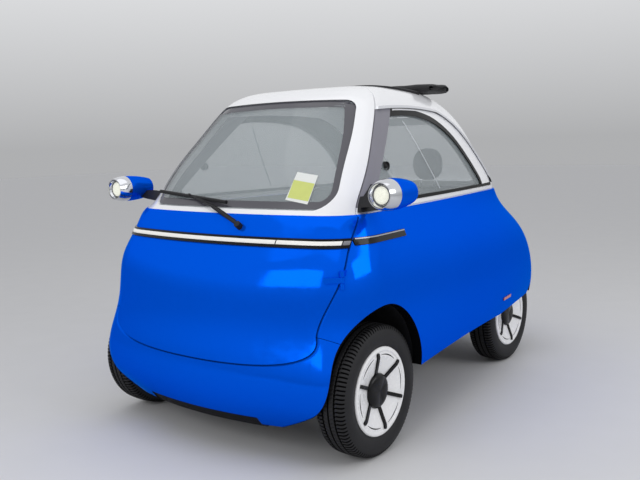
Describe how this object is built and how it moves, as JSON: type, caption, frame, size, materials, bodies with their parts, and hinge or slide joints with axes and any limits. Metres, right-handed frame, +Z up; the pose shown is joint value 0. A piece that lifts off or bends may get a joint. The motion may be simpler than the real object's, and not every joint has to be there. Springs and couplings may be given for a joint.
{
  "type": "microcar",
  "caption": "Two-seat bubble microcar whose whole nose is a side-hung door, with lamp and mirror pods, rear hatch, fabric roof and spatted spoked wheels.",
  "frame": {"origin": "centre of the footprint, on the ground", "axes": "+Z up, the nose faces -Y, +X is the car's left side"},
  "size_m": [1.642, 2.5199, 1.5259],
  "materials": {
    "blue_paint": "high gloss clear coat",
    "white_paint": "gloss",
    "grey_frame": "satin",
    "black_plastic": "fine grain",
    "black_gloss": "gloss",
    "light_strip": "milky lens",
    "clear_glass": "clear, lightly tinted",
    "lamp_lens": "clear lens",
    "bright_trim": "polished",
    "mirror_glass": "mirror",
    "red_lens": "reflector",
    "roof_fabric": "woven, matt",
    "seat_fabric": "woven",
    "steel": "as formed",
    "battery_case": "cast",
    "tyre": "matt",
    "white_cover": "gloss",
    "spider_black": "satin gloss"
  },
  "bodies": {
    "body": {"underbody": "black_plastic", "side_panel_left": "blue_paint", "side_panel_right": "blue_paint", "roof_shell": "white_paint", "front_bumper": "blue_paint", "front_grille": "black_plastic", "rear_bumper": "blue_paint", "tail_light_bar": "black_gloss", "side_frames": "grey_frame", "side_glass": "clear_glass", "belt_trims": "white_paint", "drip_rails": "bright_trim", "folded_roof": "roof_fabric", "roof_seal": "black_plastic", "pod_housings": "blue_paint", "pod_bezels": "bright_trim", "pod_brackets": "black_plastic", "headlamps": "lamp_lens", "mirrors": "mirror_glass", "side_badges": "black_gloss", "side_markers": "red_lens", "seat_base": "seat_fabric", "seat_back": "seat_fabric", "headrests": "seat_fabric", "steering_column": "black_plastic", "front_suspension": "steel", "rear_suspension": "steel", "drive_unit": "black_gloss", "battery_pack": "battery_case"},
    "front_door": {"door_panel": "blue_paint", "door_frame": "white_paint", "windscreen": "clear_glass", "door_light_bar": "light_strip", "door_liner": "black_plastic", "wiper": "black_plastic"},
    "rear_hatch": {"hatch_panel": "blue_paint", "hatch_frame": "white_paint", "rear_window": "clear_glass"},
    "steering_wheel": {"steering_wheel": "black_plastic"},
    "knuckle_left": {"knuckle_left": "steel"},
    "knuckle_right": {"knuckle_right": "steel"},
    "front_left_wheel": {"tyre_front_left": "tyre", "wheel_front_left": "white_cover", "spider_front_left": "spider_black"},
    "front_right_wheel": {"tyre_front_right": "tyre", "wheel_front_right": "white_cover", "spider_front_right": "spider_black"},
    "rear_left_wheel": {"tyre_rear_left": "tyre", "wheel_rear_left": "white_cover", "spider_rear_left": "spider_black"},
    "rear_right_wheel": {"tyre_rear_right": "tyre", "wheel_rear_right": "white_cover", "spider_rear_right": "spider_black"}
  },
  "joints": [
    {"name": "door_swing", "type": "hinge", "parent": "body", "child": "front_door", "pos_m": [0.64, -1.05, 0.736], "axis": [0, 0, 1], "range_deg": [0, 75]},
    {"name": "hatch_lift", "type": "hinge", "parent": "body", "child": "rear_hatch", "pos_m": [0, 0.511, 1.393], "axis": [1, 0, 0], "range_deg": [0, 80]},
    {"name": "steer_left", "type": "hinge", "parent": "body", "child": "knuckle_left", "pos_m": [0.6, -0.87, 0.2665], "axis": [0, 0, 1], "range_deg": [-32, 32]},
    {"name": "steer_right", "type": "hinge", "parent": "body", "child": "knuckle_right", "pos_m": [-0.6, -0.87, 0.2665], "axis": [0, 0, 1], "range_deg": [-32, 32]},
    {"name": "steering_turn", "type": "hinge", "parent": "body", "child": "steering_wheel", "pos_m": [0.23, -0.47, 0.9], "axis": [0, 0.8192, 0.5736], "range_deg": [-390, 390]},
    {"name": "front_left_spin", "type": "hinge", "parent": "knuckle_left", "child": "front_left_wheel", "pos_m": [0.622, -0.87, 0.2665], "axis": [1, 0, 0], "continuous": true},
    {"name": "front_right_spin", "type": "hinge", "parent": "knuckle_right", "child": "front_right_wheel", "pos_m": [-0.622, -0.87, 0.2665], "axis": [1, 0, 0], "continuous": true},
    {"name": "rear_left_spin", "type": "hinge", "parent": "body", "child": "rear_left_wheel", "pos_m": [0.472, 0.696, 0.2665], "axis": [1, 0, 0], "continuous": true},
    {"name": "rear_right_spin", "type": "hinge", "parent": "body", "child": "rear_right_wheel", "pos_m": [-0.472, 0.696, 0.2665], "axis": [1, 0, 0], "continuous": true}
  ],
  "couplings": [
    {"joint": "steer_right", "follows": "steer_left", "ratio": 1},
    {"joint": "steering_turn", "follows": "steer_left", "ratio": 12}
  ]
}
